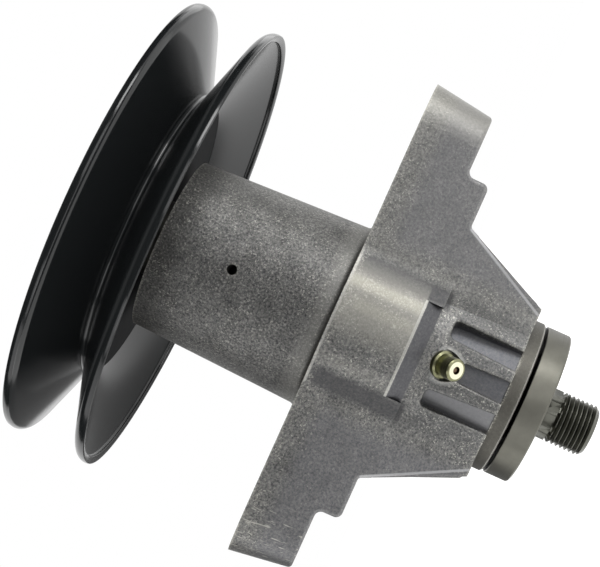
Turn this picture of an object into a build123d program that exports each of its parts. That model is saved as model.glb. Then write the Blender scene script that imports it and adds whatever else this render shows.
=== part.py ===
# Blade spindle of a mower deck: a cast housing that bolts under the deck, a shaft in two
# ball bearings, a two-piece belt pulley on top and a blade spacer below.
# Sizes are millimetres. Z is the spindle axis, with the pulley up and the blade thread down.
# The origin is on the axis, in the machined face that meets the deck.
import os
from math import cos, hypot, radians, sin, sqrt, tan

from build123d import *

# Fits and clearances, per side
press_clearance = 0.02
slip_clearance = 0.10
ball_clearance = 0.12
seal_clearance = 0.30
cut_margin = 1.0
pick_tolerance = 0.01

# Housing casting
tube_length = 54.6
tube_wall = 6.6
tube_flare = 2.2
tube_base_fillet = 2.0
vent_dia = 3.1
vent_height = 31.4
draft = 8.5
arm_reach = 74.5
arm_half_width = 27.5
arm_corner_r = 14.0
cast_edge_r = 1.2
ledge_depth = 18.7
ledge_length = 22.3
step_height = 7.0
step_fillet = 2.0
hub_overhang = 7.0
hub_drop = 2.3
hub_valley_r = 5.5
bar_height = 4.9
bar_half_length = 14.8
gusset_height = 28.2
gusset_foot_x = 39.2
rib_foot_x = 40.2
rib_width = 12.0
rib_end_height = 1.6
rib_end_fillet = 1.5
rib_edge_r = 0.6
pad_top_height = 5.2
pad_end_height = 3.0
ring_wall = 3.9
ring_length = 4.5
ring_chamfer = 0.5
pocket_floor_wall = 3.3
pocket_top_width = 5.6
pocket_end_width = 6.6
pocket_pitch = 22.7
pocket_setback = 4.8
middle_pocket_setback = 5.2
pocket_corner_r = 1.5
pocket_edge_r = 0.8
bolt_hole_dia = 10.3
bolt_end_margin = 12.0
bolt_side_margin = 12.5
bearing_shoulder = 2.0

# Ball bearings
bearing_bore = 17.0
bearing_od = 40.0
bearing_width = 12.0
bearing_recess = 0.5
inner_ring_wall = 3.75
outer_ring_wall = 3.5
ball_dia = 6.75
ball_count = 8
cage_wall = 2.4
cage_gap = 0.5
seal_thickness = 0.9
seal_inset = 0.3
seal_bite = 0.8

# Shaft
thread_dia = 15.875
shaft_shoulder = 2.5
star_points = 6
star_depth = 1.0
blade_neck_length = 5.0
neck_relief = 0.9
blade_thread_length = 11.8
thread_protrusion = 3.0
thread_chamfer = 1.4

# Blade spacer, below the housing
spacer_gap = 1.5
spacer_dia = 47.3
spacer_thickness = 6.7
spacer_chamfer = 0.6
spacer_hub_wall = 3.5

# Pulley, two pressed sheets back to back. The rim diameters are those of the sharp corners
# that the rims' bends then round off.
upper_rim_dia = 140.5
lower_rim_dia = 142.0
pulley_sheet = 2.2
pulley_gap = 4.6
groove_root_r = 43.5
groove_half_width = 10.2
root_bend_r = 5.0
rim_bend_r = 2.3
lower_lip = 2.2
upper_lip = 2.9
lip_lean = 14.0
top_spacer_wall = 3.5

# Pulley nut and washer
washer_dia = 34.0
washer_thickness = 2.5
nut_across_flats = 23.8
nut_height = 13.5
nut_flange_dia = 31.0
nut_flange_height = 2.5
nut_chamfer = 1.2
nut_flange_slope = 30.0

# Grease fitting, pointing down and out of the -Y side
fitting_setback = 5.8
fitting_seat_depth = 1.3
fitting_tilt = 40.0
fitting_shank_dia = 6.2
fitting_shank_length = 7.0
fitting_collar_dia = 8.3
fitting_collar_height = 1.6
fitting_collar_chamfer = 0.5
fitting_neck_dia = 5.2
fitting_neck_height = 1.2
fitting_head_dia = 6.6
fitting_tip_dia = 5.9
fitting_length = 6.7
fitting_mouth_dia = 2.1
fitting_passage_dia = 3.2
fitting_crimp_dia = 1.8
fitting_crimp_length = 0.8
spotface_clearance = 0.5
check_ball_dia = 2.6
check_spring_wire = 0.32
check_spring_turns = 5

# Heights and radii that follow from the sizes above
draft_slope = tan(radians(draft))
lip_slope = tan(radians(lip_lean))
tube_top_r = bearing_od / 2 + tube_wall
tube_base_r = tube_top_r + tube_flare
ledge_start_x = arm_reach - ledge_length
body_depth = ledge_depth + step_height
gusset_depth = body_depth + gusset_height
hub_depth = body_depth + hub_drop
hub_r = arm_half_width + hub_overhang
hub_valley_x = sqrt(hub_r**2 - arm_half_width**2)
bar_top = hub_depth - bar_height
hub_r_at_bar = hub_r - bar_top * draft_slope
ring_r = bearing_od / 2 + ring_wall
ring_end = gusset_depth + ring_length
pocket_floor_r = bearing_od / 2 + pocket_floor_wall
pocket_top = hub_depth + pocket_setback
pad_top_r = pocket_floor_r + pad_top_height
pad_end_r = pocket_floor_r + pad_end_height
rib_end_x = pad_end_r + rib_end_height
bolt_spacing_x = 2 * (arm_reach - bolt_end_margin)
bolt_spacing_y = 2 * (arm_half_width - bolt_side_margin)
fitting_height = hub_depth + fitting_setback
fitting_seat_r = pad_top_r - fitting_seat_depth
middle_pocket_top = fitting_height + middle_pocket_setback
cavity_r = bearing_od / 2 - bearing_shoulder
shaft_r = bearing_bore / 2
thread_r = thread_dia / 2
ball_r = ball_dia / 2
pitch_r = (bearing_bore + bearing_od) / 4
inner_shoulder_r = bearing_bore / 2 + inner_ring_wall
outer_shoulder_r = bearing_od / 2 - outer_ring_wall
upper_bearing_top = tube_length - bearing_recess
upper_bearing_bottom = upper_bearing_top - bearing_width
lower_bearing_bottom = -ring_end + bearing_recess
lower_bearing_top = lower_bearing_bottom + bearing_width
spacer_top = -ring_end - spacer_gap
spacer_bottom = spacer_top - spacer_thickness
neck_bottom = spacer_bottom - blade_neck_length
blade_thread_bottom = neck_bottom - blade_thread_length
web_bottom = tube_length + pulley_gap
pulley_mid_height = web_bottom + pulley_sheet
web_top = pulley_mid_height + pulley_sheet
washer_top = web_top + washer_thickness
nut_top = washer_top + nut_height
shaft_top = nut_top + thread_protrusion

down_from_deck = Plane(origin=(0, 0, 0), x_dir=(1, 0, 0), z_dir=(0, 0, -1))
fitting_axis_dir = (0, -cos(radians(fitting_tilt)), -sin(radians(fitting_tilt)))
fitting_seat = (0, -fitting_seat_r, -fitting_height)
fitting_face = Plane(origin=fitting_seat, x_dir=(1, 0, 0), z_dir=fitting_axis_dir)
fitting_section = Plane(origin=fitting_seat, x_dir=(1, 0, 0),
                        z_dir=(0, sin(radians(fitting_tilt)), -cos(radians(fitting_tilt))))
fitting_axis = Axis(fitting_seat, fitting_axis_dir)


def section_box(r_inner, r_outer, z_low, z_high, mode=Mode.ADD):
    """A rectangle of a turned part's half section, between two radii and two heights."""
    with Locations(((r_inner + r_outer) / 2, (z_low + z_high) / 2)):
        Rectangle(r_outer - r_inner, z_high - z_low, mode=mode)


def star_outline(tip_r, root_r):
    """The drive star of the shaft, with its tips and roots on two circles."""
    corners = []
    for step in range(2 * star_points):
        corner_r = root_r if step % 2 else tip_r
        angle = radians(step * 180 / star_points)
        corners.append((corner_r * cos(angle), corner_r * sin(angle)))
    Polygon(*corners, align=None)


def at_x(distance):
    """A test for the corners that stand at one distance to either side of the middle."""
    return lambda corner: abs(abs(corner.X) - distance) < pick_tolerance


def beyond(radius):
    """A test for the edges whose middle lies farther than this from the spindle axis."""
    return lambda edge: hypot(edge.center().X, edge.center().Y) > radius


def finish_piece(piece, label):
    """Label a finished piece and write it to its own file."""
    piece.part.label = label
    export_step(piece.part, f"parts/{label}.step")


os.makedirs("parts", exist_ok=True)

# Sloped step under the rounded hub, as a cutter that ends square beside the valleys
with BuildPart() as bar_cutter:
    with BuildSketch(Plane.XZ):
        with BuildLine():
            Polyline((hub_r_at_bar, -bar_top), (pad_top_r, -hub_depth), (hub_r, -hub_depth),
                     (hub_r, -bar_top), close=True)
        make_face()
    revolve(axis=Axis.Z)
    Box(2 * bar_half_length, 3 * hub_r, 3 * hub_depth, mode=Mode.INTERSECT)

# Rib along both gussets, with softened edges
with BuildPart() as gusset_rib:
    with BuildSketch(Plane.XZ) as rib_side:
        with BuildLine():
            Polyline((-rib_end_x, -gusset_depth), (rib_end_x, -gusset_depth),
                     (rib_foot_x, -body_depth), (-rib_foot_x, -body_depth), close=True)
        make_face()
        fillet(rib_side.vertices().group_by(Axis.Y)[0], rib_end_fillet)
    extrude(amount=rib_width / 2, both=True)
    rib_edges = gusset_rib.edges().filter_by_position(
        Axis.Z, -gusset_depth + pick_tolerance, -body_depth - pick_tolerance)
    fillet(rib_edges.filter_by(Axis.Y, reverse=True), rib_edge_r)

# Housing: flange arms with drafted walls, gussets, ribbed boss and tube, bored through
with BuildPart() as housing:
    with BuildSketch(down_from_deck):
        RectangleRounded(2 * arm_reach, 2 * arm_half_width, arm_corner_r)
    extrude(amount=gusset_depth, taper=draft)

    # The underside steps up to the bolt ledges and slopes down as gussets to the boss
    for side in (1, -1):
        with BuildSketch(Plane.XZ) as underside:
            with BuildLine():
                Polyline((side * ledge_start_x, -ledge_depth), (side * 2 * arm_reach, -ledge_depth),
                         (side * 2 * arm_reach, -gusset_depth), (side * pad_end_r, -gusset_depth),
                         (side * gusset_foot_x, -body_depth), (side * ledge_start_x, -body_depth),
                         close=True)
            make_face()
            fillet(underside.vertices().filter_by(at_x(ledge_start_x)), step_fillet)
        extrude(amount=2 * arm_half_width, both=True, mode=Mode.SUBTRACT)
    underside_edges = housing.edges().filter_by_position(
        Axis.Z, -gusset_depth + pick_tolerance, -ledge_depth + pick_tolerance)
    fillet(underside_edges, cast_edge_r)

    # Rounded hub between the arms, with its sloped step, and a rib along each gusset
    with BuildSketch(down_from_deck) as hub_plan:
        Rectangle(2 * hub_r, 2 * arm_half_width)
        Circle(hub_r)
        fillet(hub_plan.vertices().filter_by(at_x(hub_valley_x)), hub_valley_r)
    extrude(amount=hub_depth, taper=draft)
    add(bar_cutter.part, mode=Mode.SUBTRACT)
    add(gusset_rib.part)

    # Boss below, with its turned end ring, and tube above
    with BuildSketch(Plane.XZ):
        with BuildLine():
            Polyline((0, -bar_top), (pad_top_r, -bar_top), (pad_top_r, -hub_depth),
                     (pad_end_r, -gusset_depth), (ring_r, -gusset_depth),
                     (ring_r, -ring_end + ring_chamfer), (ring_r - ring_chamfer, -ring_end),
                     (0, -ring_end), close=True)
        make_face()
        with BuildLine():
            Polyline((0, -bar_top), (tube_base_r, -bar_top), (tube_base_r, 0),
                     (tube_top_r, tube_length), (0, tube_length), close=True)
        make_face()
    revolve(axis=Axis.Z)
    deck_circles = housing.edges().filter_by(GeomType.CIRCLE).filter_by_position(
        Axis.Z, -pick_tolerance, pick_tolerance)
    fillet(deck_circles.filter_by(lambda edge: abs(edge.radius - tube_base_r) < pick_tolerance),
           tube_base_fillet)

    # Pockets between the radial ribs of the boss, on both sides
    for facing in (-90, 90):
        for step in (-1, 0, 1):
            outward = radians(facing + step * pocket_pitch)
            top = middle_pocket_top if step == 0 else pocket_top
            pocket_floor = Plane(
                origin=(pocket_floor_r * cos(outward), pocket_floor_r * sin(outward), 0),
                x_dir=(-sin(outward), cos(outward), 0), z_dir=(cos(outward), sin(outward), 0))
            with BuildSketch(pocket_floor) as pocket:
                with BuildLine():
                    Polyline((-pocket_top_width / 2, -top), (pocket_top_width / 2, -top),
                             (pocket_end_width / 2, -gusset_depth),
                             (-pocket_end_width / 2, -gusset_depth), close=True)
                make_face()
                fillet(pocket.vertices().group_by(Axis.Y)[-1], pocket_corner_r)
            extrude(amount=pad_top_r - pocket_floor_r + cut_margin, mode=Mode.SUBTRACT)
            pocket_edges = housing.edges(Select.LAST).filter_by(GeomType.LINE, reverse=True)
            fillet(pocket_edges.filter_by(beyond(pad_end_r + pick_tolerance)), pocket_edge_r)

    # Bores for the cavity and the bearings, and the holes
    with BuildSketch(Plane.XZ):
        section_box(0, cavity_r, -ring_end, tube_length)
        section_box(0, bearing_od / 2 + press_clearance, -ring_end, lower_bearing_top)
        section_box(0, bearing_od / 2 + press_clearance, upper_bearing_bottom, tube_length)
    revolve(axis=Axis.Z, mode=Mode.SUBTRACT)
    with BuildSketch(down_from_deck):
        with GridLocations(bolt_spacing_x, bolt_spacing_y, 2, 2):
            Circle(bolt_hole_dia / 2)
    extrude(amount=body_depth, mode=Mode.SUBTRACT)
    with BuildSketch(Plane.XZ):
        with Locations((0, vent_height)):
            Circle(vent_dia / 2)
    extrude(amount=tube_base_r + cut_margin, mode=Mode.SUBTRACT)
    with BuildSketch(fitting_face):
        Circle(fitting_collar_dia / 2 + spotface_clearance)
    extrude(amount=fitting_length, mode=Mode.SUBTRACT)
    with BuildSketch(fitting_face):
        Circle(fitting_shank_dia / 2 + press_clearance)
    extrude(amount=-(fitting_seat_r - cavity_r / 2), mode=Mode.SUBTRACT)
finish_piece(housing, "housing")

# Two ball bearings, each sealed on its outer end
for place, bottom, outer_end in (("upper", upper_bearing_bottom, 1), ("lower", lower_bearing_bottom, -1)):
    middle = bottom + bearing_width / 2
    seal_middle = middle + outer_end * (bearing_width / 2 - seal_inset - seal_thickness / 2)
    seal_low = seal_middle - seal_thickness / 2
    seal_high = seal_middle + seal_thickness / 2
    seal_r = outer_shoulder_r + seal_bite

    with BuildPart() as outer_ring:
        with BuildSketch(Plane.XZ):
            section_box(outer_shoulder_r, bearing_od / 2, bottom, bottom + bearing_width)
            section_box(outer_shoulder_r, seal_r, seal_low - press_clearance,
                        seal_high + press_clearance, mode=Mode.SUBTRACT)
            with Locations((pitch_r, middle)):
                Circle(ball_r + ball_clearance, mode=Mode.SUBTRACT)
        revolve(axis=Axis.Z)
    finish_piece(outer_ring, f"{place}_bearing_outer_ring")

    with BuildPart() as inner_ring:
        with BuildSketch(Plane.XZ):
            section_box(bearing_bore / 2, inner_shoulder_r, bottom, bottom + bearing_width)
            with Locations((pitch_r, middle)):
                Circle(ball_r + ball_clearance, mode=Mode.SUBTRACT)
        revolve(axis=Axis.Z)
    finish_piece(inner_ring, f"{place}_bearing_inner_ring")

    with BuildPart() as balls:
        with Locations((0, 0, middle)):
            with PolarLocations(pitch_r, ball_count, start_angle=180 / ball_count):
                Sphere(ball_r)
    finish_piece(balls, f"{place}_bearing_balls")

    cage_half_height = bearing_width / 2 - seal_inset - seal_thickness - cage_gap
    with BuildPart() as cage:
        with BuildSketch(Plane.XZ):
            section_box(pitch_r - cage_wall / 2, pitch_r + cage_wall / 2,
                        middle - cage_half_height, middle + cage_half_height)
        revolve(axis=Axis.Z)
        with Locations((0, 0, middle)):
            with PolarLocations(pitch_r, ball_count, start_angle=180 / ball_count):
                Cylinder(ball_r + ball_clearance, 2 * cage_wall, rotation=(0, 90, 0), mode=Mode.SUBTRACT)
    finish_piece(cage, f"{place}_bearing_cage")

    with BuildPart() as seal:
        with BuildSketch(Plane.XZ):
            section_box(inner_shoulder_r + seal_clearance, seal_r - press_clearance, seal_low, seal_high)
        revolve(axis=Axis.Z)
    finish_piece(seal, f"{place}_bearing_seal")

# Shaft: turned journals and threads, with a drive star under each thread
star_tip_r = thread_r - slip_clearance
star_root_r = star_tip_r - star_depth
with BuildPart() as shaft:
    journal_r = shaft_r - press_clearance
    thread_end_r = thread_r - thread_chamfer
    with BuildSketch(Plane.XZ):
        section_box(0, journal_r, spacer_bottom, web_bottom)
        section_box(0, shaft_r + shaft_shoulder, lower_bearing_top, upper_bearing_bottom)
        section_box(0, star_root_r, neck_bottom, web_top)
        with BuildLine():
            Polyline((0, blade_thread_bottom), (thread_end_r, blade_thread_bottom),
                     (thread_r, blade_thread_bottom + thread_chamfer),
                     (thread_r, neck_bottom - neck_relief), (star_root_r, neck_bottom),
                     (0, neck_bottom), close=True)
        make_face()
        with BuildLine():
            Polyline((0, web_top), (star_root_r, web_top), (thread_r, web_top + neck_relief),
                     (thread_r, shaft_top - thread_chamfer), (thread_end_r, shaft_top),
                     (0, shaft_top), close=True)
        make_face()
    revolve(axis=Axis.Z)
    with BuildSketch(Plane.XY.offset(neck_bottom)):
        star_outline(star_tip_r, star_root_r)
    extrude(amount=blade_neck_length)
    with BuildSketch(Plane.XY.offset(web_bottom)):
        star_outline(star_tip_r, star_root_r)
    extrude(amount=web_top - web_bottom)
finish_piece(shaft, "spindle_shaft")

# Blade spacer: a thick collar with a hub that bears on the lower inner ring
with BuildPart() as blade_spacer:
    with BuildSketch(Plane.XZ) as spacer_half:
        section_box(shaft_r, spacer_dia / 2, spacer_bottom, spacer_top)
        rim_corners = spacer_half.vertices().group_by(Axis.X)[-1]
        chamfer(rim_corners, spacer_chamfer)
        section_box(shaft_r, shaft_r + spacer_hub_wall, spacer_top, lower_bearing_bottom)
    revolve(axis=Axis.Z)
finish_piece(blade_spacer, "blade_spacer")

# Top spacer between the upper inner ring and the pulley
with BuildPart() as top_spacer:
    with BuildSketch(Plane.XZ):
        section_box(shaft_r, shaft_r + top_spacer_wall, upper_bearing_top, web_bottom)
    revolve(axis=Axis.Z)
finish_piece(top_spacer, "top_spacer")

# Pulley halves: dished sheets whose rims turn in to a lip, and a star hole in each web
for place, up, rim_r, lip in (("lower", -1, lower_rim_dia / 2, lower_lip),
                              ("upper", 1, upper_rim_dia / 2, upper_lip)):
    with BuildPart() as pulley_half:
        with BuildSketch(Plane.XZ):
            with BuildLine():
                FilletPolyline((star_root_r / 2, pulley_mid_height), (groove_root_r, pulley_mid_height),
                               (rim_r, pulley_mid_height + up * groove_half_width),
                               (rim_r - lip * lip_slope, pulley_mid_height + up * (groove_half_width + lip)),
                               radius=(root_bend_r, rim_bend_r))
                offset(amount=pulley_sheet, side=Side.LEFT if up > 0 else Side.RIGHT)
            make_face()
        revolve(axis=Axis.Z)
        with BuildSketch(Plane.XY.offset(web_bottom)):
            star_outline(star_tip_r + slip_clearance, star_root_r + slip_clearance)
        extrude(amount=web_top - web_bottom, mode=Mode.SUBTRACT)
    finish_piece(pulley_half, f"pulley_{place}_half")

# Washer and flanged hex nut on the upper thread
with BuildPart() as pulley_washer:
    with BuildSketch(Plane.XZ):
        section_box(thread_r + slip_clearance, washer_dia / 2, web_top, washer_top)
    revolve(axis=Axis.Z)
finish_piece(pulley_washer, "pulley_washer")

nut_corner_r = nut_across_flats / sqrt(3)
with BuildPart() as pulley_nut:
    with BuildSketch(Plane.XY.offset(washer_top)):
        RegularPolygon(nut_across_flats / 2, 6, major_radius=False)
    extrude(amount=nut_height)
    with BuildSketch(Plane.XZ):
        with BuildLine():
            Polyline((0, washer_top), (nut_corner_r, washer_top),
                     (nut_corner_r, nut_top - nut_chamfer / 2), (nut_corner_r - nut_chamfer, nut_top),
                     (0, nut_top), close=True)
        make_face()
    revolve(axis=Axis.Z, mode=Mode.INTERSECT)
    with BuildSketch(Plane.XY.offset(washer_top)):
        Circle(nut_flange_dia / 2)
    extrude(amount=nut_flange_height, taper=nut_flange_slope)
    with BuildSketch(Plane.XY.offset(washer_top)):
        Circle(thread_r + press_clearance)
    extrude(amount=nut_height, mode=Mode.SUBTRACT)
finish_piece(pulley_nut, "pulley_nut")

# Grease fitting: a pressed-in nipple with a check ball and its spring
mouth_r = fitting_mouth_dia / 2
passage_r = fitting_passage_dia / 2
check_ball_r = check_ball_dia / 2
head_start = fitting_collar_height + fitting_neck_height
mouth_cone = passage_r - mouth_r
mouth_start = fitting_length - check_ball_r / 2
ball_rest = mouth_start - mouth_cone - sqrt(2) * check_ball_r + passage_r - slip_clearance
with BuildPart() as grease_fitting:
    with BuildSketch(fitting_section):
        with BuildLine():
            Polyline((0, -fitting_shank_length), (fitting_shank_dia / 2, -fitting_shank_length),
                     (fitting_shank_dia / 2, 0), (fitting_collar_dia / 2, 0),
                     (fitting_collar_dia / 2, fitting_collar_height - fitting_collar_chamfer),
                     (fitting_collar_dia / 2 - fitting_collar_chamfer, fitting_collar_height),
                     (fitting_neck_dia / 2, fitting_collar_height), (fitting_neck_dia / 2, head_start),
                     (fitting_head_dia / 2, head_start + fitting_head_dia / 2 - fitting_neck_dia / 2),
                     (fitting_head_dia / 2, fitting_length - fitting_head_dia / 2 + fitting_tip_dia / 2),
                     (fitting_tip_dia / 2, fitting_length), (0, fitting_length), close=True)
        make_face()
        section_box(0, mouth_r, 0, fitting_length, mode=Mode.SUBTRACT)
        section_box(0, passage_r, -fitting_shank_length + fitting_crimp_length,
                    mouth_start - mouth_cone, mode=Mode.SUBTRACT)
        section_box(0, fitting_crimp_dia / 2, -fitting_shank_length, 0, mode=Mode.SUBTRACT)
        with BuildLine():
            Polyline((0, mouth_start - mouth_cone), (passage_r, mouth_start - mouth_cone),
                     (mouth_r, mouth_start), (0, mouth_start), close=True)
        make_face(mode=Mode.SUBTRACT)
    revolve(axis=fitting_axis)
finish_piece(grease_fitting, "grease_fitting_body")

with BuildPart() as check_ball:
    with Locations(fitting_face.offset(ball_rest)):
        Sphere(check_ball_r)
finish_piece(check_ball, "grease_check_ball")

spring_bottom = -fitting_shank_length + fitting_crimp_length + check_spring_wire / 2
spring_height = ball_rest - check_ball_r - check_spring_wire / 2 - spring_bottom
spring_r = passage_r - slip_clearance - check_spring_wire / 2
with BuildPart() as check_spring:
    with BuildLine() as coil:
        Helix(pitch=spring_height / check_spring_turns, height=spring_height, radius=spring_r,
              center=fitting_face.offset(spring_bottom).origin, direction=fitting_axis_dir)
    with BuildSketch(Plane(origin=coil.line @ 0, z_dir=coil.line % 0)):
        Circle(check_spring_wire / 2)
    sweep(is_frenet=True)
finish_piece(check_spring, "grease_check_spring")
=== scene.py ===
# %% [markdown]
# # A mower deck's blade spindle
# The solids of this spindle come from CAD at their real size, in metres, and stay where they are.
# This lesson sets up the camera and the studio, gives the solids their finishes, and then models
# what the solids leave plain: the screw threads, the pulley's pressed halves and the spacer's edges.
# Z is the spindle axis, with the pulley up and the blade thread down.

# %% Load the solids
import math

import bpy
from mathutils import Matrix, Vector


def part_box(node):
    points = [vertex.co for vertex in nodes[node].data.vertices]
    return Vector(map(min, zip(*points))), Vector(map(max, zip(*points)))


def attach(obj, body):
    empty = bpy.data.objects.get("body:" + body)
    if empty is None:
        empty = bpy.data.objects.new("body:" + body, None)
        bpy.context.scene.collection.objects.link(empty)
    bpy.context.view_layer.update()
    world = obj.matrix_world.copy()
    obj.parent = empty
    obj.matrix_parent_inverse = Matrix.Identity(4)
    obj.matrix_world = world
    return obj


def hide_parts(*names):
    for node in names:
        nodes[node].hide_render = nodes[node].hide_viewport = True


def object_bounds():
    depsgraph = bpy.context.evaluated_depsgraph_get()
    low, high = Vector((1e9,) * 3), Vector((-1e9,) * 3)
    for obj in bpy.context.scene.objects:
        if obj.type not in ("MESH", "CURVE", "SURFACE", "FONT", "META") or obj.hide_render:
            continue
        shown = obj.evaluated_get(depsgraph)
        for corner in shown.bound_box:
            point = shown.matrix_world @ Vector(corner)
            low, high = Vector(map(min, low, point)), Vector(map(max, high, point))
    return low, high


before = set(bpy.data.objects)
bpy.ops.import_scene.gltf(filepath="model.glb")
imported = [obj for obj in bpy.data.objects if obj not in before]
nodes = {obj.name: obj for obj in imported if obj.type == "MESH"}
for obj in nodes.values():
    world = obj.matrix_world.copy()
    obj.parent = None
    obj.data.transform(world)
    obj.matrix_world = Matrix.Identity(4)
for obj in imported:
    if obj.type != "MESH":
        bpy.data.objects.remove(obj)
cad_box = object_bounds()
MM = 0.001
print(len(nodes), "solids, from", cad_box[0], "to", cad_box[1])

# %% [markdown]
# ## Camera
# The photograph was taken from the side of the grease fitting, with the spindle lying at a slant in
# the frame. The camera is placed by a point, a point that it looks at and a direction that is up in
# the picture, because three plain vectors are easier to read and change than Euler angles.

# %% Camera
camera_place = Vector((-5.42, -463.29, -15.10)) * MM
camera_aim = Vector((4.99, 0.0, 13.79)) * MM
picture_up = Vector((0.9109, -0.0460, 0.4100))
look = (camera_aim - camera_place).normalized()
right = look.cross(picture_up).normalized()
up = right.cross(look)
camera_data = bpy.data.cameras.new("photo_camera")
camera_data.sensor_width = 36.0
camera_data.sensor_fit = "HORIZONTAL"
camera_data.lens = 92.23
camera_data.clip_start = 0.01
camera = bpy.data.objects.new("photo_camera", camera_data)
camera.matrix_world = Matrix.Translation(camera_place) @ Matrix((right, up, -look)).transposed().to_4x4()
bpy.context.scene.collection.objects.link(camera)
bpy.context.scene.camera = camera
print("camera", round((camera_aim - camera_place).length, 3), "m from the spindle")

# %% [markdown]
# ## Helpers for finishes
# Colours are written as the hex values that a colour picker shows, and one function turns them to
# the linear values that the renderer works in. One function adds a shader node with its settings
# and links, so that each finish below reads as a list of nodes.

# %% Helpers for finishes
def linear(hex_colour):
    """The linear RGBA of an sRGB hex colour."""
    channels = [int(hex_colour[i:i + 2], 16) / 255 for i in (1, 3, 5)]
    return [c / 12.92 if c <= 0.04045 else ((c + 0.055) / 1.055) ** 2.4 for c in channels] + [1.0]


def add(tree, kind, inputs=None, **settings):
    """One shader node, with its settings, and its inputs set or linked."""
    node = tree.nodes.new("ShaderNode" + kind)
    for name, value in settings.items():
        setattr(node, name, value)
    for name, value in (inputs or {}).items():
        if isinstance(value, bpy.types.NodeSocket):
            tree.links.new(value, node.inputs[name])
        else:
            node.inputs[name].default_value = value
    return node


def new_finish(name, **inputs):
    """A material of that name, its node tree and its shader, with plain socket values set."""
    material = bpy.data.materials.new(name)
    material.use_nodes = True
    shader = material.node_tree.nodes["Principled BSDF"]
    for socket, value in inputs.items():
        shader.inputs[socket.replace("_", " ")].default_value = value
    return material, material.node_tree, shader


def dress(material, *names):
    """Give the named solids this finish."""
    for name in names:
        for material_slot in nodes[name].material_slots:
            material_slot.material = material


def per_mm(size):
    """The texture scale at which a pattern's features are about this many millimetres across."""
    return 1 / (size * MM)


# %% [markdown]
# ## Studio
# The photograph is a cut-out on white. The world is white to the camera and in reflections, and
# lights the object softly. What the metal and the enamel mirror decides how they look: the white
# back, the dark room round the camera, which dark cards stand for, and the floor, which cards make
# dark in front, grey at the back on the left and pale at the back on the right. The camera can't see
# the cards, so they don't stand in the way when the object is looked at from other sides.

# %% World
world = bpy.data.worlds.new("white_studio")
world.use_nodes = True
bpy.context.scene.world = world
fill_level = 0.5


def seen_level(tree, unseen, seen):
    """A strength for what is behind the object: one for rays that show it, another for its light."""
    rays = add(tree, "LightPath").outputs
    mirrored = add(tree, "Math", {0: rays["Is Glossy Ray"], 1: rays["Is Transmission Ray"]},
                   operation="MAXIMUM")
    shown = add(tree, "Math", {0: rays["Is Camera Ray"], 1: mirrored.outputs[0]}, operation="MAXIMUM")
    return add(tree, "MapRange", {"Value": shown.outputs[0], "To Min": unseen, "To Max": seen}).outputs[0]


tree = world.node_tree
background = tree.nodes["Background"]
background.inputs["Color"].default_value = linear("#ffffff")
tree.links.new(seen_level(tree, fill_level, 1.0), background.inputs["Strength"])
bpy.context.scene.view_settings.view_transform = "Standard"
print("world", world.name)


# %% Floor
def flat_sheet(name, size, place, facing):
    """A square sheet of the studio, turned to face a point."""
    bpy.ops.object.select_all(action="DESELECT")
    bpy.ops.mesh.primitive_plane_add(size=size)
    sheet = bpy.context.object
    sheet.name = name
    direction = Vector(facing) - Vector(place)
    sheet.matrix_world = Matrix.Translation(place) @ direction.to_track_quat("Z", "Y").to_matrix().to_4x4()
    return sheet


floor_drop = 41.0 * MM
floor_glow = 0.8
floor_height = cad_box[0][2] - floor_drop
floor = flat_sheet("floor", 6.0, (0, 0, floor_height), (0, 0, 1))
floor_material, tree, shader = new_finish("pale_floor", Base_Color=linear("#f2f2f0"), Roughness=0.9)
shader.inputs["Emission Color"].default_value = linear("#ffffff")
tree.links.new(seen_level(tree, 0.0, floor_glow), shader.inputs["Emission Strength"])
floor.data.materials.append(floor_material)
print("floor at", round(floor_height, 3))

# %% Cards
middle = (0.0, 0.0, 0.05)
on_floor = floor_height + 4 * MM
cards = (("front_card", 2.2, (0.0, -0.95, 0.25), middle, "#101010"),
         ("left_card", 1.9, (-1.05, -0.10, 0.30), middle, "#101010"),
         ("right_card", 1.9, (1.05, -0.10, 1.10), (0.0, -0.10, 1.10), "#101010"),
         ("top_card", 2.0, (0.0, -0.10, 1.15), middle, "#8c8c8c"),
         ("front_floor_card", 2.4, (0.0, -1.42, on_floor), (0.0, -1.42, 1.0), "#101010"),
         ("back_left_card", 2.6, (-1.3, 1.42, on_floor), (-1.3, 1.42, 1.0), "#7c7c7c"),
         ("back_right_card", 2.6, (1.3, 1.42, on_floor), (1.3, 1.42, 1.0), "#e8e8e8"))
for name, size, place, facing, tone in cards:
    card = flat_sheet(name, size, place, facing)
    card_material = bpy.data.materials.new(name)
    card_material.use_nodes = True
    tree = card_material.node_tree
    tree.nodes.clear()
    glow = add(tree, "Emission", {"Color": linear(tone), "Strength": 1.0})
    add(tree, "OutputMaterial", {"Surface": glow.outputs[0]})
    card.data.materials.append(card_material)
    card.visible_camera = False
    card.visible_shadow = False
    card.visible_diffuse = False
print(len(cards), "cards")


# %% Lamps
def lamp(name, place, width, height, watts):
    """A soft lamp that points at the spindle."""
    data = bpy.data.lights.new(name, "AREA")
    data.shape = "RECTANGLE"
    data.size = width
    data.size_y = height
    data.energy = watts
    soft_lamp = bpy.data.objects.new(name, data)
    place = Vector(place)
    soft_lamp.matrix_world = Matrix.Translation(place) @ (-place).to_track_quat("-Z", "Y").to_matrix().to_4x4()
    soft_lamp.visible_camera = False
    bpy.context.scene.collection.objects.link(soft_lamp)
    print("lamp", name, watts, "W")


lamp("right_softbox", (0.70, -0.48, 0.0), 0.32, 0.32, 2.4)
lamp("front_softbox", (0.30, -0.70, -0.05), 0.35, 0.35, 0.7)
lamp("front_strip", (0.0, -0.50, -0.085), 1.10, 0.08, 0.5)
lamp("left_fill", (-0.75, -0.10, 0.10), 0.50, 0.50, 1.0)
lamp("left_front_fill", (-0.50, -0.50, -0.03), 0.35, 0.35, 0.6)
lamp("back_light", (0.55, 0.45, 0.05), 0.40, 0.40, 0.4)

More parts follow.
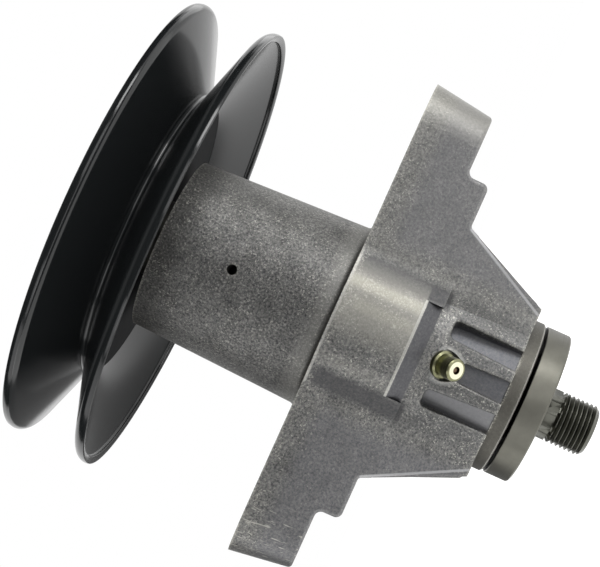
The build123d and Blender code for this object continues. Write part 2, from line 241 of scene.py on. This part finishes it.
# %% [markdown]
# ## Cast aluminium
# The housing is a pressure casting that was blasted with grit. The eye sees a mid-grey metal with
# pale specks where single grains catch the light, smoother pocket floors, a turned end ring, and
# worn bright edges. The place on the casting decides which skin shows, so the places come first, as
# limits in millimetres. Some places carry painted light and shade: painted highlights on the hub,
# its crests, the bar's edge, the deck line, the gusset line and the upper arm's tip, a lighter upper
# side, painted shade under the pulley, in the valleys, on the sloped bar, on the end ring and in the
# gap below it, and painted light where the tube by the deck, the fitting's seat and the lower pockets
# lie in shade. Ambient occlusion from the inside of the metal finds its outer edges, and from
# outside it finds the corners, which are painted darker as shade.

# %% Cast aluminium: how a place is found
def within(tree, *limits):
    """1 where each value lies between its two limits in millimetres, with soft ends."""
    mask = 1.0
    for value, low, high, soft in limits:
        half = (high - low) / 2
        from_middle = add(tree, "Math", {0: value, 1: (low + high) / 2 * MM}, operation="SUBTRACT")
        distance = add(tree, "Math", {0: from_middle.outputs[0]}, operation="ABSOLUTE")
        near = add(tree, "MapRange", {"Value": distance.outputs[0], "From Min": (half + soft) * MM,
                                      "From Max": half * MM})
        mask = add(tree, "Math", {0: near.outputs[0], 1: mask}, operation="MULTIPLY").outputs[0]
    return mask


fitting_seat = (0.0, -27.2 * MM, -33.8 * MM)
fitting_axis = (0.0, -0.766, -0.643)


def about_fitting(tree, place):
    """The distance along the grease fitting's axis from its seat, and the distance away from it."""
    from_seat = add(tree, "VectorMath", {0: place, 1: fitting_seat}, operation="SUBTRACT").outputs[0]
    along = add(tree, "VectorMath", {0: from_seat, 1: fitting_axis}, operation="DOT_PRODUCT")
    across = add(tree, "VectorMath", {0: from_seat, 1: fitting_axis}, operation="CROSS_PRODUCT")
    away = add(tree, "VectorMath", {0: across.outputs[0]}, operation="LENGTH")
    return along.outputs["Value"], away.outputs["Value"]


# %% Cast aluminium: places on the casting
cast, tree, shader = new_finish("blasted_cast_aluminium", Metallic=1.0)
place = add(tree, "TexCoord").outputs["Object"]
axes = add(tree, "SeparateXYZ", {0: place}).outputs
x, z = axes["X"], axes["Z"]
side = add(tree, "Math", {0: x}, operation="ABSOLUTE").outputs[0]
flat = add(tree, "VectorMath", {0: place, 1: (1.0, 1.0, 0.0)}, operation="MULTIPLY")
radius = add(tree, "VectorMath", {0: flat.outputs[0]}, operation="LENGTH").outputs["Value"]
gusset_lean = 0.518
slant = add(tree, "Math", {0: z, 1: -gusset_lean, 2: side}, operation="MULTIPLY_ADD").outputs[0]
along, away = about_fitting(tree, place)
limits = {
    # the tube, with painted light by the deck and painted shade under the pulley
    "tube": [(z, 0.5, 60.0, 1.0)],
    "deck_fill_light": [(z, 0.3, 3.5, 4.0), (z, 0.5, 60.0, 1.0)],
    "pulley_shadow": [(z, 50.0, 60.0, 7.0)],
    # the arms and the edge that meets the deck, with a painted lighter upper side, a painted highlight on the
    # upper arm's tip and one along the deck line
    "tip": [(x, 68.0, 120.0, 9.0)],
    "low_tip": [(x, -120.0, -60.0, 6.0)],
    "lit_side": [(x, 22.0, 120.0, 14.0)],
    "smooth_wall": [(z, -52.0, -9.0, 4.0), (side, 28.0, 90.0, 5.0)],
    "deck_edge": [(z, -2.4, -0.5, 0.3)],
    "deck_line_highlight": [(z, -0.7, -0.25, 0.15), (side, 0.0, 19.0, 2.0)],
    # the hub, with the valleys beside it and the sloped bar below it: painted highlights on the hub, its crests
    # and the bar's edge, painted shade in the valleys and on the bar
    "hub": [(z, -22.5, -0.5, 0.5), (x, 1.0, 13.0, 7.0)],
    "crest": [(z, -22.0, -1.0, 1.0), (x, 11.0, 12.4, 1.8)],
    "second_crest": [(z, -22.0, -5.0, 2.0), (x, 4.5, 6.5, 1.5)],
    "low_crest": [(z, -22.0, -1.0, 1.0), (x, -12.4, -11.0, 1.8)],
    "valley": [(z, -29.0, -1.5, 1.0), (side, 15.6, 19.4, 2.2)],
    "valley_rim": [(z, -30.0, -2.0, 1.0), (side, 21.5, 26.5, 2.5)],
    "bar": [(z, -27.6, -23.4, 0.3), (radius, 28.4, 30.8, 0.4), (side, 0.0, 14.8, 0.2)],
    "bar_edge_highlight": [(z, -23.2, -22.6, 0.2), (side, 0.0, 14.8, 0.2), (radius, 30.4, 34.0, 0.4)],
    "bar_end": [(z, -30.0, -20.5, 0.5), (side, 14.6, 26.0, 1.0)],
    # the gussets, with a painted highlight along the gusset's edge line
    "gusset_line_highlight": [(z, -53.5, -26.0, 0.5), (slant, 51.8, 52.3, 0.3)],
    "gusset_side": [(z, -53.5, -26.0, 0.5), (slant, 52.7, 62.0, 0.3)],
    # the boss, with its pads, pockets, the fitting's seat and the turned end ring: painted light in the lower
    # pockets and round the fitting's seat, painted shade on the ring and in the gap below it
    "pads": [(z, -53.5, -33.0, 1.0), (radius, 25.0, 34.0, 0.8), (side, 0.0, 19.0, 2.0)],
    "pocket": [(z, -53.5, -33.0, 0.5), (radius, 20.0, 24.0, 1.5)],
    "low_pocket_fill_light": [(x, -22.0, -4.0, 2.0), (z, -53.5, -33.0, 0.5), (radius, 20.0, 24.0, 1.5)],
    "fitting_fill_light": [(along, -0.5, 8.0, 0.5), (away, 3.0, 5.3, 0.6)],
    "ring": [(z, -60.0, -54.1, 0.3)],
    "ring_edge": [(z, -58.15, -57.85, 0.12)],
    "ring_gap_shadow": [(z, -60.0, -58.25, 0.1)]}
spot = {name: within(tree, *ranges) for name, ranges in limits.items()}
print("finish", cast.name, "with", len(spot), "places")

# %% Cast aluminium: grain and specks
grain = add(tree, "TexNoise", {"Vector": place, "Scale": per_mm(0.7), "Detail": 3.0,
                               "Roughness": 0.7}).outputs["Fac"]
blotch = add(tree, "TexNoise", {"Vector": place, "Scale": per_mm(7.0), "Detail": 6.0,
                                "Roughness": 0.7}).outputs["Fac"]
patch = add(tree, "TexNoise", {"Vector": place, "Scale": per_mm(8.0), "Detail": 5.0,
                               "Roughness": 0.7}).outputs["Fac"]
speck = add(tree, "TexNoise", {"Vector": place, "Scale": per_mm(0.5), "Detail": 2.0,
                               "Distortion": 0.8}).outputs["Fac"]

# single grains that catch the light, in patches, and few of them on smooth skin
glint = add(tree, "MapRange", {"Value": speck, "From Min": 0.59, "From Max": 0.68, "To Max": 0.7}).outputs[0]
patchy = add(tree, "MapRange", {"Value": patch, "From Min": 0.40, "From Max": 0.60, "To Min": 0.18})
smooth = spot["pocket"]
for name in ("valley", "ring", "bar"):
    smooth = add(tree, "Math", {0: smooth, 1: spot[name]}, operation="MAXIMUM").outputs[0]
blasted = add(tree, "MapRange", {"Value": smooth, "To Min": 1.0, "To Max": 0.1})
quiet = add(tree, "MapRange", {"Value": spot["smooth_wall"], "To Min": 1.0, "To Max": 0.35})
for mask in (patchy, blasted, quiet):
    glint = add(tree, "Math", {0: glint, 1: mask.outputs[0]}, operation="MULTIPLY").outputs[0]

# painted glints, denser along the crests and edges of the hub, the deck edge and the valley rims, where the
# light falls
sparkly = spot["bar_edge_highlight"]
for name, share in (("deck_edge", 0.55), ("crest", 0.9), ("low_crest", 0.5), ("second_crest", 0.5),
                    ("valley_rim", 0.5)):
    part = add(tree, "Math", {0: spot[name], 1: share}, operation="MULTIPLY")
    sparkly = add(tree, "Math", {0: sparkly, 1: part.outputs[0]}, operation="MAXIMUM").outputs[0]
scattered = add(tree, "MapRange", {"Value": patch, "From Min": 0.38, "From Max": 0.60, "To Min": 0.25})
dense = add(tree, "MapRange", {"Value": speck, "From Min": 0.50, "From Max": 0.66, "To Max": 0.7})
for mask in (scattered, dense):
    sparkly = add(tree, "Math", {0: sparkly, 1: mask.outputs[0]}, operation="MULTIPLY").outputs[0]

# scratches along the spindle, on the end of the lower arm
streak = add(tree, "VectorMath", {0: place, 1: (1.0, 1.0, 0.07)}, operation="MULTIPLY")
streak = add(tree, "TexNoise", {"Vector": streak.outputs[0], "Scale": per_mm(0.7), "Detail": 1.0})
scratch = add(tree, "MapRange", {"Value": streak.outputs["Fac"], "From Min": 0.63, "From Max": 0.70,
                                 "To Max": 0.6})
scratch = add(tree, "Math", {0: scratch.outputs[0], 1: spot["low_tip"]}, operation="MULTIPLY")
for mark in (sparkly, scratch.outputs[0]):
    glint = add(tree, "Math", {0: glint, 1: mark}, operation="MAXIMUM").outputs[0]
print("specks from", len(tree.nodes), "nodes so far")

# %% Cast aluminium: worn edges and painted shade in the corners
inside = add(tree, "AmbientOcclusion", {"Distance": 1.1 * MM}, inside=True, only_local=True, samples=8)
worn = add(tree, "MapRange", {"Value": inside.outputs["AO"], "From Min": 0.92, "From Max": 0.60,
                              "To Max": 0.6}).outputs[0]
rubbed = add(tree, "MapRange", {"Value": speck, "From Min": 0.40, "From Max": 0.62})
off_bar_end = add(tree, "MapRange", {"Value": spot["bar_end"], "To Min": 1.0, "To Max": 0.1})
for mask in (rubbed, off_bar_end):
    worn = add(tree, "Math", {0: worn, 1: mask.outputs[0]}, operation="MULTIPLY").outputs[0]
bright = add(tree, "Math", {0: glint, 1: worn}, operation="MAXIMUM").outputs[0]

# painted shade: occlusion from outside darkens the corners, less in the pockets, on the tube and round the
# fitting's seat
outside = add(tree, "AmbientOcclusion", {"Distance": 3.0 * MM}, only_local=True, samples=8)
corner_shade = add(tree, "MapRange", {"Value": outside.outputs["AO"], "From Min": 0.90, "From Max": 0.35,
                               "To Max": 0.45}).outputs[0]
out_of_pocket = add(tree, "MapRange", {"Value": spot["pocket"], "To Min": 1.0, "To Max": 0.2})
unshaded = add(tree, "Math", {0: spot["tube"], 1: spot["fitting_fill_light"]}, operation="MAXIMUM")
not_unshaded = add(tree, "MapRange", {"Value": unshaded.outputs[0], "To Min": 1.0, "To Max": 0.3})
for mask in (out_of_pocket, not_unshaded):
    corner_shade = add(tree, "Math", {0: corner_shade, 1: mask.outputs[0]}, operation="MULTIPLY").outputs[0]
spot["corner_shade"] = corner_shade
print("edges and corners from two ambient occlusion nodes")

# %% Cast aluminium: colour, roughness and relief
mottle = add(tree, "MapRange", {"Value": grain, "From Min": 0.32, "From Max": 0.68}).outputs[0]
skin = add(tree, "Mix", {"Factor": mottle, 6: linear("#505153"), 7: linear("#949390")}, data_type="RGBA")
shade = add(tree, "MapRange", {"Value": blotch, "From Min": 0.3, "From Max": 0.7, "To Min": 0.75,
                               "To Max": 1.21})
dots = add(tree, "MapRange", {"Value": speck, "From Min": 0.35, "From Max": 0.65, "To Min": 0.86,
                              "To Max": 1.42})
for share, factor in ((1.0, shade), (spot["tube"], dots)):
    skin = add(tree, "Mix", {"Factor": share, 6: skin.outputs[2], 7: factor.outputs[0]}, data_type="RGBA",
               blend_type="MULTIPLY")
# painted light and shade among these tones: a lighter upper side, painted light on the tube by the deck, in the
# lower pockets and round the fitting's seat, and painted highlights on the hub, its crests, the bar's edge, the
# deck line, the gusset line and the upper arm's tip; painted shade on the tube under the pulley, in the
# valleys, on the sloped bar, on the end ring, in the corners and in the gap below the ring
tones = (("lit_side", 0.12, "#c4c3be"), ("pads", 0.35, "#515254"), ("pulley_shadow", 0.45, "#4c4b49"),
         ("deck_fill_light", 0.45, "#b4b3ae"), ("valley", 0.75, "#4b4b4d"), ("smooth_wall", 0.4, "#79797e"),
         ("gusset_side", 0.5, "#5a5a5c"), ("gusset_line_highlight", 0.7, "#b9b9bb"), ("hub", 0.5, "#b0aea5"),
         ("crest", 0.5, "#bdbaae"), ("low_crest", 0.15, "#a8a69e"), ("second_crest", 0.25, "#b5b2a6"),
         ("bar_edge_highlight", 0.7, "#c4c3be"), ("deck_line_highlight", 0.5, "#bdbcb8"), ("tip", 0.45, "#b2b0a8"),
         ("pocket", 0.75, "#696a6f"), ("low_pocket_fill_light", 0.5, "#9c9c9d"), ("bar", 0.8, "#57575b"),
         ("ring", 0.9, "#5c5a54"), ("corner_shade", 1.0, "#3c3c3c"), ("ring_edge", 0.45, "#c9c8c2"),
         ("fitting_fill_light", 0.5, "#b0b0ae"), ("ring_gap_shadow", 1.0, "#0c0c0b"))
for name, share, colour in tones:
    amount = add(tree, "Math", {0: spot[name], 1: share}, operation="MULTIPLY")
    skin = add(tree, "Mix", {"Factor": amount.outputs[0], 6: skin.outputs[2], 7: linear(colour)},
               data_type="RGBA")
# the painted glints and the worn edges, in one pale colour
skin = add(tree, "Mix", {"Factor": bright, 6: skin.outputs[2], 7: linear("#d6d4ca")}, data_type="RGBA")
rough = add(tree, "MapRange", {"Value": spot["tube"], "To Min": 0.48, "To Max": 0.60})
rough = add(tree, "Math", {0: bright, 1: -0.08, 2: rough.outputs[0]}, operation="MULTIPLY_ADD")
relief = add(tree, "Bump", {"Height": speck, "Strength": 0.4, "Distance": 0.08 * MM})
tree.links.new(skin.outputs[2], shader.inputs["Base Color"])
tree.links.new(rough.outputs[0], shader.inputs["Roughness"])
tree.links.new(relief.outputs[0], shader.inputs["Normal"])
dress(cast, "housing")
print(len(tones), "tones on the casting")

# %% [markdown]
# ## Black gloss enamel
# The pulley halves are pressed sheet steel, dipped in black gloss enamel. The eye sees almost no
# colour of its own, only the mirror of the studio and of the other half, softened by a slight
# orange peel. Under the flat webs the coat is dull and dark with a faint mottle, as painted shade
# between the webs and the tube.

# %% Black gloss enamel
enamel, tree, shader = new_finish("black_gloss_enamel", Base_Color=linear("#1c1e1f"), Roughness=0.15, IOR=1.5)
place = add(tree, "TexCoord").outputs["Object"]
peel = add(tree, "TexNoise", {"Vector": place, "Scale": per_mm(2.2), "Detail": 1.0})
relief = add(tree, "Bump", {"Height": peel.outputs["Fac"], "Strength": 0.05, "Distance": 0.02 * MM})
tree.links.new(relief.outputs[0], shader.inputs["Normal"])
print("finish", enamel.name)

# painted shade: a dull, dark coat under the flat webs
web_shade_coat, tree, shader = new_finish("dull_enamel_web_shade", Roughness=0.7, Specular_IOR_Level=0.12)
place = add(tree, "TexCoord").outputs["Object"]
dust = add(tree, "TexNoise", {"Vector": place, "Scale": per_mm(2.0), "Detail": 4.0})
tone = add(tree, "Mix", {"Factor": dust.outputs["Fac"], 6: linear("#17181a"), 7: linear("#2a2b2c")},
           data_type="RGBA")
tree.links.new(tone.outputs[2], shader.inputs["Base Color"])
print("finish", web_shade_coat.name)

# %% [markdown]
# ## Turned steel
# The spacers, the shaft and the bearing rings were turned on a lathe, so each carries fine rings
# about the spindle axis. Noise that is read by radius and height alone, and not by the angle, draws
# such rings on faces and on round walls alike.

# %% Turned steel
def turned_steel(name, colour, dark, roughness, ring_pitch, end=None):
    """Lathe-turned steel, with rings about the Z axis. An end is a direction in radius and
    height, a reach along it in millimetres, and the colour of what lies beyond."""
    material, tree, shader = new_finish(name, Metallic=1.0)
    place = add(tree, "TexCoord").outputs["Object"]
    flat = add(tree, "VectorMath", {0: place, 1: (1.0, 1.0, 0.0)}, operation="MULTIPLY")
    radius = add(tree, "VectorMath", {0: flat.outputs[0]}, operation="LENGTH")
    height = add(tree, "SeparateXYZ", {0: place})
    across = add(tree, "CombineXYZ", {0: radius.outputs["Value"], 2: height.outputs["Z"]})
    rings = add(tree, "TexNoise", {"Vector": across.outputs[0], "Scale": per_mm(ring_pitch), "Detail": 2.0})
    stain = add(tree, "TexNoise", {"Vector": place, "Scale": per_mm(6.0), "Detail": 4.0})
    tone = add(tree, "Mix", {"Factor": stain.outputs["Fac"], 6: linear(colour), 7: linear(dark)},
               data_type="RGBA")
    rough = add(tree, "MapRange", {"Value": rings.outputs["Fac"], "To Min": roughness - 0.1,
                                   "To Max": roughness + 0.15})
    relief = add(tree, "Bump", {"Height": rings.outputs["Fac"], "Strength": 0.35, "Distance": 0.02 * MM})
    if end:
        axis, reach, end_colour = end
        along = add(tree, "VectorMath", {0: across.outputs[0], 1: axis}, operation="DOT_PRODUCT")
        beyond = add(tree, "MapRange", {"Value": along.outputs["Value"], "From Min": (reach - 0.05) * MM,
                                        "From Max": (reach + 0.05) * MM})
        tone = add(tree, "Mix", {"Factor": beyond.outputs[0], 6: tone.outputs[2], 7: linear(end_colour)},
                   data_type="RGBA")
    tree.links.new(tone.outputs[2], shader.inputs["Base Color"])
    tree.links.new(rough.outputs[0], shader.inputs["Roughness"])
    tree.links.new(relief.outputs[0], shader.inputs["Normal"])
    print("finish", name)
    return material


# a grey-brown collar with soft bands of light, and its upper face, in the gap below the housing, painted black
# as shadow
gap_shadow = ((-0.5, 0, 1), -70.9, "#0c0c0b")
spacer_steel = turned_steel("turned_spacer_steel", "#7c7b73", "#5e5d56", 0.32, 0.35, gap_shadow)
# dark oily steel that shines along the crests of the thread
shaft_steel = turned_steel("oiled_shaft_steel", "#75756e", "#4a4a44", 0.28, 0.4)
# clean bright rings, ground to size
bearing_steel = turned_steel("ground_bearing_steel", "#b5b6b8", "#9b9c9f", 0.25, 0.2)
# pale silvery plating, a little dull
zinc_steel = turned_steel("zinc_plated_steel", "#b9bab8", "#a0a19d", 0.32, 0.6)
# balls that mirror all that is round them
polished_steel = turned_steel("polished_ball_steel", "#d2d4d6", "#c2c4c7", 0.15, 0.5)
# a small ball, brown with old grease
oiled_ball = turned_steel("oiled_ball_steel", "#7d6a58", "#5d4d40", 0.30, 0.5)
dress(bearing_steel, *(n for n in nodes if n.endswith(("outer_ring", "inner_ring", "cage"))),
      "grease_check_spring")
dress(polished_steel, *(n for n in nodes if n.endswith("balls")))
dress(oiled_ball, "grease_check_ball")
dress(zinc_steel, "pulley_washer", "pulley_nut")
dress(shaft_steel, "top_spacer")

# %% [markdown]
# ## Yellow zinc and rubber
# The grease fitting is plated with yellow zinc. The eye sees an olive metal with golden edges, a pale
# face that the grease gun has rubbed bright, and a brown mouth. It was turned about its own slanted
# axis, so its finish is read along that axis and away from it. The bearing seals are moulded rubber,
# dull and almost black.

# %% Yellow zinc of the grease fitting
yellow_zinc, tree, shader = new_finish("yellow_zinc_steel", Metallic=1.0)
place = add(tree, "TexCoord").outputs["Object"]
along, away = about_fitting(tree, place)
across = add(tree, "CombineXYZ", {0: away, 2: along})
rings = add(tree, "TexNoise", {"Vector": across.outputs[0], "Scale": per_mm(0.25), "Detail": 2.0})
stain = add(tree, "TexNoise", {"Vector": place, "Scale": per_mm(6.0), "Detail": 4.0})
tone = add(tree, "Mix", {"Factor": stain.outputs["Fac"], 6: linear("#9b9b7c"), 7: linear("#6d6d52")},
           data_type="RGBA")
rubbed_face = within(tree, (along, 6.55, 8.0, 0.05), (away, 1.2, 2.45, 0.15))
mouth = within(tree, (along, 5.0, 8.0, 0.2), (away, 0.0, 1.12, 0.05))
for mask, colour in ((rubbed_face, "#efecd0"), (mouth, "#4d3d28")):
    tone = add(tree, "Mix", {"Factor": mask, 6: tone.outputs[2], 7: linear(colour)}, data_type="RGBA")
rough = add(tree, "MapRange", {"Value": rings.outputs["Fac"], "To Min": 0.18, "To Max": 0.43})
relief = add(tree, "Bump", {"Height": rings.outputs["Fac"], "Strength": 0.35, "Distance": 0.02 * MM})
tree.links.new(tone.outputs[2], shader.inputs["Base Color"])
tree.links.new(rough.outputs[0], shader.inputs["Roughness"])
tree.links.new(relief.outputs[0], shader.inputs["Normal"])
dress(yellow_zinc, "grease_fitting_body")
print("finish", yellow_zinc.name)

# %% Seal rubber
seal_rubber, tree, shader = new_finish("moulded_seal_rubber", Roughness=0.6)
place = add(tree, "TexCoord").outputs["Object"]
dust = add(tree, "TexNoise", {"Vector": place, "Scale": per_mm(1.5), "Detail": 4.0})
tone = add(tree, "Mix", {"Factor": dust.outputs["Fac"], 6: linear("#1b1b1b"), 7: linear("#2a2927")},
           data_type="RGBA")
tree.links.new(tone.outputs[2], shader.inputs["Base Color"])
dress(seal_rubber, "upper_bearing_seal", "lower_bearing_seal")
print("finish", seal_rubber.name)

# %% [markdown]
# ## Screw threads
# Both ends of the shaft carry a rolled thread, 5/8 inch across with 18 turns to the inch. A bump
# texture could draw the turns, but the outline of the stud would stay smooth, so they are real
# metal here. One turn's profile is drawn, the Screw modifier winds it up the axis, two cuts make a
# closed bar of it that is a little too long, and a bevelled blank then trims its ends as a die or a
# lathe does. The shaft between the threads is a copy of the solid, cut off at both ends.

# %% Sizes of the thread
pitch = 25.4 / 18 * MM
crest_r = 15.875 / 2 * MM
thread_depth = 0.61 * pitch
root_r = crest_r - thread_depth
flank_rise = 0.44 * pitch
crest_flat = 0.12 * pitch
thread_steps = 64
spare = 0.4 * MM
shaft_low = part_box("spindle_shaft")[0][2]
shaft_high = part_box("spindle_shaft")[1][2]
print("thread from radius", round(root_r / MM, 2), "to", round(crest_r / MM, 2), "mm")


# %% Helpers for modelling
def alone(piece):
    """Make this piece the only one that is selected, and the active one."""
    bpy.ops.object.select_all(action="DESELECT")
    piece.select_set(True)
    bpy.context.view_layer.objects.active = piece


def cut_at(piece, height, keep_above):
    """Cut a piece with a level plane, close the cut, and keep one side."""
    alone(piece)
    bpy.ops.object.mode_set(mode="EDIT")
    bpy.ops.mesh.select_all(action="SELECT")
    bpy.ops.mesh.bisect(plane_co=(0, 0, height), plane_no=(0, 0, 1), use_fill=True,
                        clear_inner=keep_above, clear_outer=not keep_above)
    bpy.ops.object.mode_set(mode="OBJECT")


def tidy_mesh(piece):
    """Merge what lies on the same spot and turn all faces outwards."""
    alone(piece)
    bpy.ops.object.mode_set(mode="EDIT")
    bpy.ops.mesh.select_all(action="SELECT")
    bpy.ops.mesh.remove_doubles(threshold=0.002 * MM)
    bpy.ops.mesh.normals_make_consistent(inside=False)
    bpy.ops.object.mode_set(mode="OBJECT")


def apply_modifier(piece, kind, **settings):
    """Add a modifier to a piece and apply it."""
    alone(piece)
    modifier = piece.modifiers.new(kind.lower(), kind)
    for name, value in settings.items():
        setattr(modifier, name, value)
    bpy.ops.object.modifier_apply(modifier=modifier.name)


def drawn_line(name, start, steps):
    """A line of edges in the XZ plane: its first point, and the step from each point to the next."""
    bpy.ops.object.select_all(action="DESELECT")
    bpy.ops.mesh.primitive_plane_add(size=1.0 * MM)
    piece = bpy.context.object
    piece.name = name
    bpy.ops.object.mode_set(mode="EDIT")
    bpy.ops.mesh.select_mode(type="VERT")
    bpy.ops.mesh.select_all(action="SELECT")
    bpy.ops.mesh.merge(type="CENTER")
    bpy.ops.transform.translate(value=(start[0], 0, start[1]))
    for out, rise in steps:
        bpy.ops.mesh.extrude_region_move(TRANSFORM_OT_translate={"value": (out, 0, rise)})
    bpy.ops.object.mode_set(mode="OBJECT")
    return piece


def shade_smooth(piece, degrees):
    """Shade a piece smooth, but for the edges where its faces meet at a larger angle."""
    alone(piece)
    bpy.ops.object.shade_smooth_by_angle(angle=math.radians(degrees))


# %% A wound thread
def wound_thread(name, low, high):
    """A closed bar of thread about the Z axis, a little longer than from one height to the other."""
    turns = math.ceil((high - low) / pitch) + 3
    profile = ((thread_depth, flank_rise), (0.0, crest_flat), (-thread_depth, flank_rise))
    thread = drawn_line(name, (root_r, low - 1.5 * pitch), profile)
    apply_modifier(thread, "SCREW", screw_offset=pitch, iterations=turns, steps=thread_steps,
                   render_steps=thread_steps)
    tidy_mesh(thread)
    cut_at(thread, low - spare, keep_above=True)
    cut_at(thread, high + spare, keep_above=False)
    tidy_mesh(thread)
    return thread


def trim_ends(thread, low, high, low_bevel, high_bevel):
    """Bevel the thread's ends, with a blank whose bevelled body is all that stays of the thread."""
    bpy.ops.object.select_all(action="DESELECT")
    bpy.ops.mesh.primitive_cylinder_add(vertices=128, radius=crest_r + 0.01 * MM, depth=high - low,
                                        location=(0, 0, (high + low) / 2))
    blank = bpy.context.object
    bpy.ops.object.transform_apply(location=True)
    for height, bevel in ((low, low_bevel), (high, high_bevel)):
        alone(blank)
        bpy.ops.object.mode_set(mode="EDIT")
        bpy.ops.mesh.select_mode(type="EDGE")
        bpy.ops.mesh.select_all(action="DESELECT")
        bpy.ops.object.mode_set(mode="OBJECT")
        for edge in blank.data.edges:
            ends = [blank.data.vertices[v].co for v in edge.vertices]
            edge.select = all(abs(end.z - height) < 0.01 * MM for end in ends)
        bpy.ops.object.mode_set(mode="EDIT")
        bpy.ops.mesh.bevel(offset=bevel, segments=1)
        bpy.ops.object.mode_set(mode="OBJECT")
    apply_modifier(thread, "BOOLEAN", operation="INTERSECT", object=blank, solver="EXACT")
    bpy.data.objects.remove(blank)
    tidy_mesh(thread)
    shade_smooth(thread, 25)
    print(thread.name, len(thread.data.polygons), "faces")


# %% Blade thread, pulley thread and the shaft between them
blade_top = -72.3 * MM
pulley_low = 78.0 * MM
blade_thread = wound_thread("blade_thread", shaft_low, blade_top)
trim_ends(blade_thread, shaft_low, blade_top, low_bevel=1.3 * MM, high_bevel=0.8 * MM)
pulley_thread = wound_thread("pulley_thread", pulley_low, shaft_high)
trim_ends(pulley_thread, pulley_low, shaft_high, low_bevel=0.1 * MM, high_bevel=1.3 * MM)

shaft = bpy.data.objects.new("turned_shaft", nodes["spindle_shaft"].data.copy())
bpy.context.scene.collection.objects.link(shaft)
tidy_mesh(shaft)
cut_at(shaft, blade_top - spare, keep_above=True)
cut_at(shaft, pulley_low + spare, keep_above=False)
shade_smooth(shaft, 25)
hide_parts("spindle_shaft")
for piece in (shaft, blade_thread, pulley_thread):
    piece.data.materials.clear()
    piece.data.materials.append(shaft_steel)
    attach(piece, "spindle")
print("shaft", len(shaft.data.polygons), "faces")

# %% [markdown]
# ## Pressed pulley halves
# Each half of the pulley is a steel sheet pressed to a dish whose rim is bent over to a lip. The solid
# has the shape, but gloss enamel shows every facet of a mesh, so each half is turned again here from
# its outline, in fine steps. The Screw modifier turns the sheet's groove side, and Solidify gives it
# the sheet's thickness on the other side. Enamel fills the seam at the root, where the halves meet.

# %% Outline of a pulley half
pulley_middle = 61.4 * MM
sheet = 2.2 * MM
edge_bevel = 0.35 * MM
web_r = 44.0 * MM
arc_steps = 12
turn_steps = 256
# the groove side's outline, in millimetres
bore_r = 7.95
groove_root = 43.5
half_width = 10.2
lip_lean = 0.249
root_bend = 5.0


def bend(before, corner, after, radius):
    """Points along the arc that rounds one corner of an outline."""
    to_before = (before - corner).normalized()
    to_after = (after - corner).normalized()
    half = to_before.angle(to_after) / 2
    start = corner + to_before * (radius / math.tan(half))
    middle = corner + (to_before + to_after).normalized() * (radius / math.sin(half))
    turn = math.pi - 2 * half
    if to_before.x * to_after.y < to_before.y * to_after.x:
        turn = -turn
    turns = [Matrix.Rotation(-turn * i / arc_steps, 2) for i in range(arc_steps + 1)]
    return [middle + part_turn @ (start - middle) for part_turn in turns]


def turned(name, outline):
    """An outline of radius and height, turned about the Z axis."""
    piece = drawn_line(name, outline[0], [point - last for last, point in zip(outline, outline[1:])])
    apply_modifier(piece, "SCREW", screw_offset=0.0, iterations=1, steps=turn_steps,
                   render_steps=turn_steps, use_merge_vertices=True)
    tidy_mesh(piece)
    return piece


# %% Pressed halves
# each half's name, the way its rim points, and its rim's radius, lip and bend in millimetres
halves = (("lower", -1, 71.0, 2.8, 2.9), ("upper", 1, 70.25, 2.9, 2.3))
for half_name, up, rim_r, lip, rim_bend in halves:
    corners = [Vector((r * MM, pulley_middle + up * rise * MM)) for r, rise in
               ((bore_r, 0.0), (groove_root, 0.0), (rim_r, half_width),
                (rim_r - lip_lean * lip, half_width + lip))]
    root_arc = bend(*corners[:3], root_bend * MM)
    rim_arc = bend(*corners[1:], rim_bend * MM)
    outline = corners[:1] + root_arc + rim_arc + corners[3:]
    half_piece = turned("pressed_" + half_name + "_half", outline)
    web = min(half_piece.data.polygons, key=lambda face: face.center.xy.length)
    if web.normal.z * up > 0:
        alone(half_piece)
        bpy.ops.object.mode_set(mode="EDIT")
        bpy.ops.mesh.select_all(action="SELECT")
        bpy.ops.mesh.flip_normals()
        bpy.ops.object.mode_set(mode="OBJECT")
    apply_modifier(half_piece, "SOLIDIFY", thickness=sheet, offset=-1.0, use_even_offset=True)
    apply_modifier(half_piece, "BEVEL", width=edge_bevel, segments=2, limit_method="ANGLE",
                   angle_limit=math.radians(60))
    tidy_mesh(half_piece)
    shade_smooth(half_piece, 30)
    half_piece.data.materials.append(enamel)
    half_piece.data.materials.append(web_shade_coat)
    for face in half_piece.data.polygons:
        under_web = face.center.xy.length < web_r and face.normal.z < -0.9
        face.material_index = 1 if under_web else 0
    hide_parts("pulley_" + half_name + "_half")
    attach(half_piece, "spindle")
    print(half_piece.name, len(half_piece.data.polygons), "faces")

# %% Enamel in the seam
seam = [Vector((r * MM, pulley_middle + rise * MM)) for r, rise in
        ((43.2, 0.0), (45.6, -0.85), (45.95, -0.5), (46.1, 0.0), (45.95, 0.5), (45.6, 0.85), (43.2, 0.0))]
seam_piece = turned("enamel_seam", seam)
shade_smooth(seam_piece, 40)
seam_piece.data.materials.append(enamel)
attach(seam_piece, "spindle")
print(seam_piece.name, len(seam_piece.data.polygons), "faces")

# %% [markdown]
# ## Blade spacer
# The spacer is turned from bar, and its upper face runs close to the housing's end ring, so that only
# a thin dark line shows between them. It is turned here from its outline, with that closer fit and
# with edges that are broken as a lathe file leaves them.

# %% Blade spacer
spacer_outline = [Vector((r * MM, height * MM)) for r, height in
                  ((8.5, -66.6), (23.1, -66.6), (23.45, -66.45), (23.65, -66.1), (23.65, -59.5), (23.55, -59.3),
                   (23.35, -59.2), (12.0, -59.2), (12.0, -57.9), (8.5, -57.9), (8.5, -66.6))]
spacer_piece = turned("turned_spacer", spacer_outline)
shade_smooth(spacer_piece, 15)
spacer_piece.data.materials.append(spacer_steel)
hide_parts("blade_spacer")
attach(spacer_piece, "spindle")
print(spacer_piece.name, len(spacer_piece.data.polygons), "faces")
